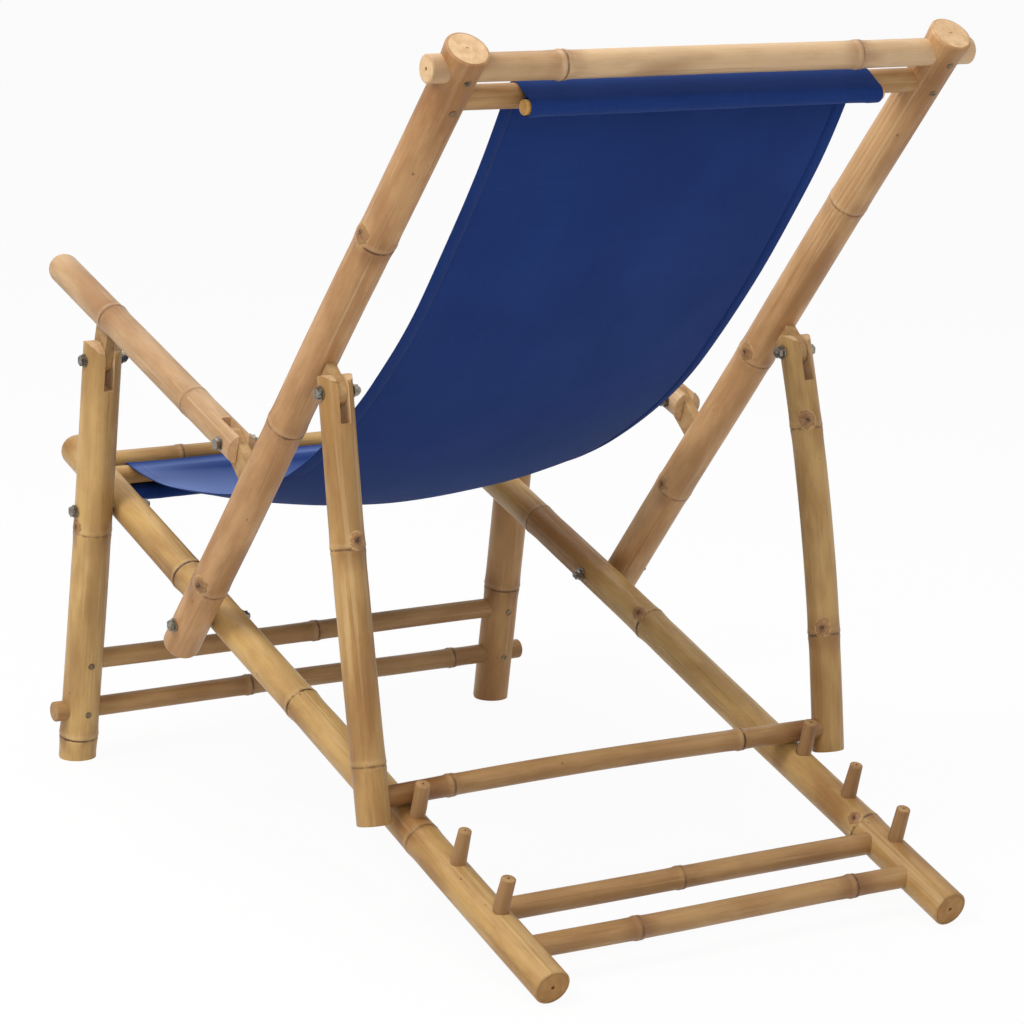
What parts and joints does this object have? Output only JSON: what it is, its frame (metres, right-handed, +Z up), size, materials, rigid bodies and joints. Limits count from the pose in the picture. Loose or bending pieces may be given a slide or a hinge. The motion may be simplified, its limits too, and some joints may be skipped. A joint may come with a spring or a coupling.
{
  "type": "deck chair",
  "caption": "Folding deck chair of bamboo poles with pivoted legs, armrests and back prop, pegged rails and a hemmed canvas sling that forms seat and back.",
  "frame": {"origin": "on the floor, at the middle of the chair's width and depth", "axes": "+Z up, the sitter faces -Y, +X towards the sitter's left"},
  "size_m": [0.6, 1.007, 0.8551],
  "materials": {
    "bamboo_pole": "natural bamboo culm, satin, with rings and knots",
    "bamboo_bar": "thin bamboo culm, toasted, satin",
    "tongue_wood": "flat sawn bamboo, matt",
    "dowel_wood": "turned dowel, matt",
    "canvas": "plain woven navy canvas",
    "steel": "zinc plated, dulled"
  },
  "bodies": {
    "base": {"back_pivot_bolts": "steel", "back_pivot_nuts": "steel", "back_pivot_washers": "steel", "front_bar_lower": "bamboo_bar", "front_bar_upper": "bamboo_bar", "front_hem_dowel": "dowel_wood", "leg_pivot_bolts": "steel", "leg_pivot_nuts": "steel", "leg_pivot_washers": "steel", "peg_left_front": "bamboo_bar", "peg_left_middle": "bamboo_bar", "peg_left_rear": "bamboo_bar", "peg_right_front": "bamboo_bar", "peg_right_middle": "bamboo_bar", "peg_right_rear": "bamboo_bar", "rail_left": "bamboo_pole", "rail_right": "bamboo_pole", "rear_stretcher_lower": "bamboo_bar", "rear_stretcher_upper": "bamboo_bar"},
    "legs": {"arm_front_bolts": "steel", "arm_front_nuts": "steel", "arm_front_washers": "steel", "leg_left": "bamboo_pole", "leg_right": "bamboo_pole", "leg_screws": "steel", "leg_stretcher_lower": "bamboo_bar", "leg_stretcher_upper": "bamboo_bar"},
    "backrest": {"arm_rear_tongue_left": "tongue_wood", "arm_rear_tongue_right": "tongue_wood", "back_screws": "steel", "head_bar": "bamboo_bar", "prop_tongue_left": "tongue_wood", "prop_tongue_right": "tongue_wood", "sling": "canvas", "sling_bar": "bamboo_bar", "top_hem_dowel": "dowel_wood", "upright_left": "bamboo_pole", "upright_right": "bamboo_pole"},
    "armrest_left": {"arm_front_tongue_left": "tongue_wood", "arm_rear_bolt_left": "steel", "arm_rear_nut_left": "steel", "arm_rear_washers_left": "steel", "armrest_left": "bamboo_pole"},
    "armrest_right": {"arm_front_tongue_right": "tongue_wood", "arm_rear_bolt_right": "steel", "arm_rear_nut_right": "steel", "arm_rear_washers_right": "steel", "armrest_right": "bamboo_pole"},
    "prop": {"prop_bar": "bamboo_bar", "prop_bolts": "steel", "prop_left": "bamboo_pole", "prop_nuts": "steel", "prop_right": "bamboo_pole", "prop_washers": "steel"}
  },
  "joints": [
    {"name": "backrest_fold", "type": "hinge", "parent": "base", "child": "backrest", "pos_m": [0, -0.13269, 0.21345], "axis": [1, 0, 0], "range_deg": [0, 30], "deforming": ["sling"]},
    {"name": "leg_fold", "type": "hinge", "parent": "base", "child": "legs", "pos_m": [0, -0.3647, 0.28571], "axis": [1, 0, 0], "range_deg": [0, 40.6]},
    {"name": "armrest_left_pivot", "type": "hinge", "parent": "backrest", "child": "armrest_left", "pos_m": [0.267, -0.0417, 0.41875], "axis": [1, 0, 0], "range_deg": [-22.2, 0]},
    {"name": "armrest_right_pivot", "type": "hinge", "parent": "backrest", "child": "armrest_right", "pos_m": [-0.267, -0.0417, 0.41875], "axis": [1, 0, 0], "range_deg": [-22.2, 0]},
    {"name": "prop_swing", "type": "hinge", "parent": "backrest", "child": "prop", "pos_m": [0, 0.16141, 0.50375], "axis": [1, 0, 0], "range_deg": [-42.1, 0]}
  ],
  "couplings": [
    {"joint": "leg_fold", "follows": "backrest_fold", "ratio": 1.3518},
    {"joint": "armrest_left_pivot", "follows": "backrest_fold", "ratio": -0.7368},
    {"joint": "armrest_right_pivot", "follows": "backrest_fold", "ratio": -0.7368},
    {"joint": "prop_swing", "follows": "backrest_fold", "ratio": -1.4}
  ]
}
